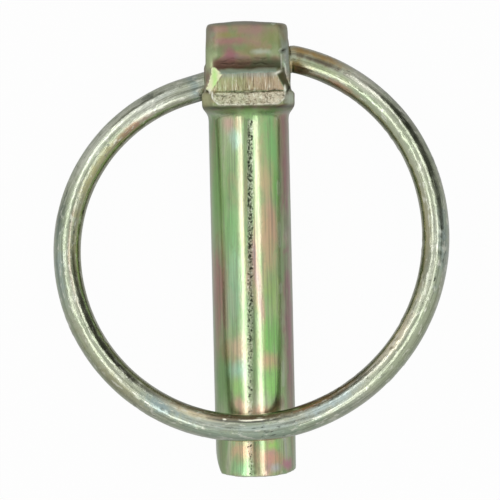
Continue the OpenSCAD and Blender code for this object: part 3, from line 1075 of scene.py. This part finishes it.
def make_plated_wire():
    material = bpy.data.materials.new("plated_wire")
    material.use_nodes = True
    tree = material.node_tree
    shader = tree.nodes["Principled BSDF"]
    along = put(tree, "ShaderNodeAttribute", attribute_name="wire_place").outputs["Vector"]
    axes = put(tree, "ShaderNodeSeparateXYZ", {0: along}).outputs

    skin = use_group(tree, plating_hue, {
        "Vector": stretch_vector(tree, along, (0.085, 0.4, 0.4), (0.7, 1.1, 2.3)),
        "Thickness": 0.24, "Spread": 1.1}).outputs[0]
    skin = blend_colour(tree, 0.65, skin, colour(*WIRE_HAZE))
    skin = lay(tree, skin, fade(tree, axes["Y"], 0.5, 1.4), WIRE_INNER_SIDE, 0.55)
    skin = lay_patches(tree, along, skin, WIRE_PATCHES)

    # Drawing lines, dirt in the scuffs, rubbed flecks and painted glints
    lines = grain(tree, stretch_vector(tree, along, (0.02, 1.0, 1.0)), 3.6, 3.0, 0.65)
    skin = lay(tree, skin, fade(tree, lines, 0.5, 0.36), DRAWN_WIRE, 0.45)
    drawn_out = stretch_vector(tree, along, (0.35, 1.0, 1.0))
    grains = use_group(tree, speckle, {"Vector": drawn_out, "Size": 0.34}).outputs
    worn = grain(tree, stretch_vector(tree, along, (0.12, 0.5, 0.5)), 1.0, 3.0)
    rubbed = fade(tree, worn, 0.5, 0.62)
    dark = times(tree, grains["Dark"], plus(tree, 0.25, times(tree, rubbed, 0.65)))
    skin = lay(tree, skin, dark, SCUFF_DIRT)
    mottle = grain(tree, drawn_out, 2.4, 3.0, 0.6)
    flecks = times(tree, fade(tree, mottle, 0.56, 0.66), fade(tree, axes["X"], 132.0, 126.0))
    skin = lay(tree, skin, flecks, RUBBED_WIRE, 0.6)
    painted_glints = lay_patches(tree, along, colour(0, 0, 0), PAINTED_WIRE_GLINTS)
    skin = lay(tree, skin, painted_glints, PAINTED_GLINT_WHITE)
    tree.links.new(skin, shader.inputs["Base Color"])

    metal = maths(tree, "SUBTRACT", 1.0, painted_glints, clamp=True)
    tree.links.new(metal, shader.inputs["Metallic"])
    rough = plus(tree, 0.15, times(tree, rubbed, 0.14))
    tree.links.new(rough, shader.inputs["Roughness"])
    shader.inputs["Coat Weight"].default_value = 0.7
    shader.inputs["Coat Roughness"].default_value = 0.12
    shader.inputs["Coat IOR"].default_value = 1.7
    height = plus(tree, times(tree, grains["Height"], 0.6), lines)
    height = plus(tree, height, times(tree, mottle, 1.6))
    tree.links.new(make_bump(tree, height), shader.inputs["Normal"])
    return material


# Floor, light and camera

def make_floor():
    bpy.ops.object.select_all(action="DESELECT")
    bpy.ops.mesh.primitive_plane_add(size=TABLE_SIZE,
                                     location=(0.0, 0.0, cad_box[0].z - TABLE_GAP))
    floor = bpy.context.active_object
    floor.name = "white_table"
    material = bpy.data.materials.new("white_paper")
    material.use_nodes = True
    tree = material.node_tree
    tree.nodes.clear()
    grey = (PAPER_GREY, PAPER_GREY, PAPER_GREY, 1.0)
    paper = put(tree, "ShaderNodeBsdfDiffuse", {"Color": grey})
    bright = put(tree, "ShaderNodeEmission", {"Color": (1.0, 1.0, 1.0, 1.0), "Strength": 1.0})
    ray = put(tree, "ShaderNodeLightPath").outputs
    mirrored = maths(tree, "ADD", ray["Is Glossy Ray"], ray["Is Transmission Ray"], clamp=True)
    share = maths(tree, "ADD", times(tree, ray["Is Camera Ray"], CAMERA_WHITE),
                  times(tree, mirrored, MIRRORED_WHITE), clamp=True)
    mixed = put(tree, "ShaderNodeMixShader",
                {0: share, 1: paper.outputs[0], 2: bright.outputs[0]})
    put(tree, "ShaderNodeOutputMaterial", {"Surface": mixed.outputs[0]})
    floor.data.materials.append(material)


# Dark places in the tent: azimuth, elevation, outer and inner reach in degrees, tint
TENT_SPOTS = [
    (180, 86, 9, 4, (156, 156, 148)),
    (38, 26, 30, 16, (98, 100, 94)),
    (118, 22, 14, 7, (126, 128, 118)),
]


def direction(azimuth, elevation):
    a, e = math.radians(azimuth), math.radians(elevation)
    return (math.cos(a) * math.cos(e), math.sin(a) * math.cos(e), math.sin(e))


def make_tent():
    """The pale tent round the table. Its dark places are the camera and gaps in the cloth."""
    world = bpy.data.worlds.new("light_tent")
    bpy.context.scene.world = world
    world.use_nodes = True
    tree = world.node_tree
    tree.nodes.clear()
    way = put(tree, "ShaderNodeTexCoord").outputs["Generated"]
    height = put(tree, "ShaderNodeSeparateXYZ", {0: way}).outputs["Z"]
    shade = blend_colour(tree, fade(tree, height, 0.0, 0.85), colour(216, 216, 212),
                         colour(244, 246, 242))
    for azimuth, elevation, outer, inner, tint in TENT_SPOTS:
        facing = put(tree, "ShaderNodeVectorMath", {0: way, 1: direction(azimuth, elevation)},
                     operation="DOT_PRODUCT").outputs["Value"]
        mask = fade(tree, facing, math.cos(math.radians(outer)), math.cos(math.radians(inner)))
        shade = lay(tree, shade, mask, tint)
    cloth = put(tree, "ShaderNodeBackground", {"Color": shade, "Strength": 1.0})
    put(tree, "ShaderNodeOutputWorld", {"Surface": cloth.outputs[0]})


def make_lamp(name, angle, power):
    """A long soft lamp over the table. The angle is from straight up, to the right."""
    lamp = bpy.data.lights.new(name, "AREA")
    lamp.shape = "RECTANGLE"
    lamp.size = LAMP_WIDTH
    lamp.size_y = LAMP_LENGTH
    lamp.energy = power
    lean = math.radians(angle)
    holder = bpy.data.objects.new(name, lamp)
    holder.location = (LAMP_HEIGHT * math.tan(lean), 0.0, LAMP_HEIGHT)
    holder.rotation_euler = (0.0, lean, 0.0)
    bpy.context.scene.collection.objects.link(holder)


def make_camera():
    camera = bpy.data.cameras.new("camera")
    holder = bpy.data.objects.new("camera", camera)
    camera.lens = CAMERA_HEIGHT * PIXELS_PER_MM * camera.sensor_width / PICTURE_PIXELS
    camera.clip_start = 0.01
    camera.clip_end = 10.0
    holder.location = (PHOTO_CENTRE[0] * MM, PHOTO_CENTRE[1] * MM, CAMERA_HEIGHT * MM)
    holder.rotation_euler = (0.0, 0.0, -math.radians(PHOTO_TILT))
    bpy.context.scene.collection.objects.link(holder)
    bpy.context.scene.camera = holder


pin = make_forged_pin()
pin.data.materials.append(make_plated_forging())
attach(pin, "body")
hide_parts("pin_body")

ring = make_wire_ring()
ring.data.materials.append(make_plated_wire())
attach(ring, "ring")
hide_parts("snap_ring")

make_floor()
make_tent()
make_lamp("left_softbox", -26.0, 0.8)
make_lamp("right_softbox", 19.0, 0.75)
make_camera()
bpy.context.scene.view_settings.view_transform = "Standard"
